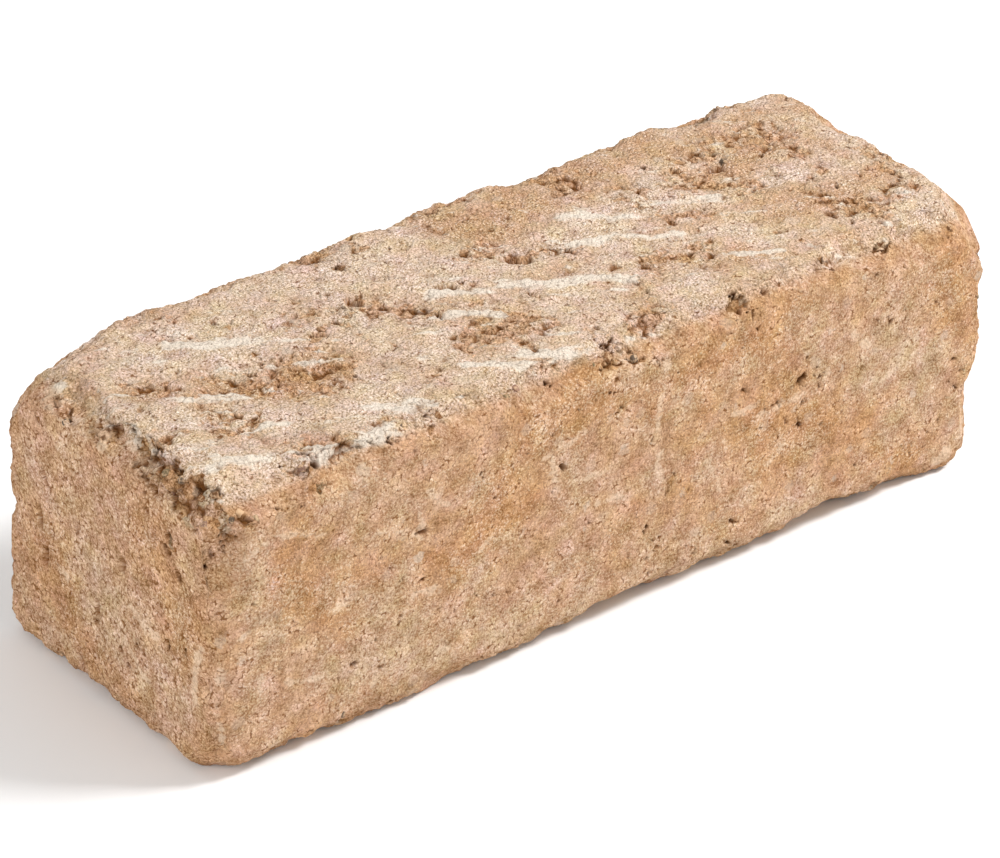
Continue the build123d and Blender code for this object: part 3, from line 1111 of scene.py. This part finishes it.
class WALLBLOCK_OT_studio(bpy.types.Operator):
    """Set up the floor, the lights and the camera"""

    bl_idname = "wallblock.studio"
    bl_label = "Studio"

    def execute(self, context):
        settings = context.scene.wall_studio
        self.middle = Vector(CENTRE) * MM
        self.add_floor(settings)
        self.add_light("key", settings.key_place, settings.key_size, settings.key_power)
        self.add_light("fill", settings.fill_place, settings.fill_size, settings.fill_power)
        self.add_sky(context.scene, settings)
        self.add_camera(context.scene, settings)
        context.scene.view_settings.view_transform = "Standard"
        return {"FINISHED"}

    def add_floor(self, settings):
        """A wide, pale floor under the block."""
        reach = settings.floor_reach
        mesh = bpy.data.meshes.new("floor")
        corners = [(-reach, -reach, 0), (reach, -reach, 0), (reach, reach, 0), (-reach, reach, 0)]
        mesh.from_pydata(corners, [], [(0, 1, 2, 3)])
        floor = new_piece("floor", mesh)
        tree = FinishTree("Studio floor")
        tree.feed("Base Color", rgba(settings.floor_colour))
        tree.feed("Roughness", 0.9)
        mesh.materials.append(tree.material)

    def add_light(self, name, offset, size, power):
        """A square soft light, set off from the middle of the block and turned towards it."""
        data = bpy.data.lights.new(name, "AREA")
        data.size = size
        data.energy = power
        light = bpy.data.objects.new(name, data)
        light.location = self.middle + Vector(offset)
        light.rotation_euler = (self.middle - light.location).to_track_quat("-Z", "Y").to_euler()
        bpy.context.scene.collection.objects.link(light)

    def add_sky(self, scene, settings):
        """An even white light from all round."""
        world = bpy.data.worlds.new("Studio")
        world.use_nodes = True
        background = world.node_tree.nodes["Background"]
        background.inputs["Color"].default_value = (1.0, 1.0, 1.0, 1.0)
        background.inputs["Strength"].default_value = settings.sky
        scene.world = world

    def add_camera(self, scene, settings):
        """The camera, turned about the middle of the block, leaned and then slid sideways."""
        azimuth, elevation, roll = settings.azimuth, settings.elevation, settings.roll
        flat = math.cos(elevation)
        back = Vector((math.sin(azimuth) * flat, -math.cos(azimuth) * flat, math.sin(elevation)))
        level = Vector((math.cos(azimuth), math.sin(azimuth), 0.0))
        upright = back.cross(level)
        right = math.cos(roll) * level + math.sin(roll) * upright
        up = math.cos(roll) * upright - math.sin(roll) * level
        data = bpy.data.cameras.new("camera")
        data.lens = settings.lens
        camera = bpy.data.objects.new("camera", data)
        turn = Matrix((right, up, back)).transposed().to_4x4()
        place = self.middle + back * settings.distance + right * settings.slide[0] + up * settings.slide[1]
        camera.matrix_world = Matrix.Translation(place) @ turn
        scene.collection.objects.link(camera)
        scene.camera = camera


class WALLBLOCK_PT_panel(bpy.types.Panel):
    """Lists the block's pieces and settings"""

    bl_idname = "WALLBLOCK_PT_panel"
    bl_label = "Garden wall block"
    bl_space_type = "VIEW_3D"
    bl_region_type = "UI"
    bl_category = "Wall block"

    def draw(self, context):
        for operator, group in PANEL_ROWS:
            box = self.layout.box()
            box.operator(operator.bl_idname)
            settings = getattr(context.scene, group)
            for name in settings.__annotations__:
                box.prop(settings, name)


GROUPS = {"wall_block": BlockSettings, "wall_gravel": GravelSettings, "wall_studio": StudioSettings}
OPERATORS = (WALLBLOCK_OT_block, WALLBLOCK_OT_gravel, WALLBLOCK_OT_studio)
PANEL_ROWS = tuple(zip(OPERATORS, GROUPS))
CLASSES = (*GROUPS.values(), *OPERATORS, WALLBLOCK_PT_panel)


def register():
    for item in CLASSES:
        bpy.utils.register_class(item)
    for name, group in GROUPS.items():
        setattr(bpy.types.Scene, name, PointerProperty(type=group))


def unregister():
    for name in GROUPS:
        delattr(bpy.types.Scene, name)
    for item in reversed(CLASSES):
        bpy.utils.unregister_class(item)


def main():
    register()
    bpy.ops.wallblock.block()
    bpy.ops.wallblock.gravel()
    bpy.ops.wallblock.studio()


if __name__ == "__main__":
    main()
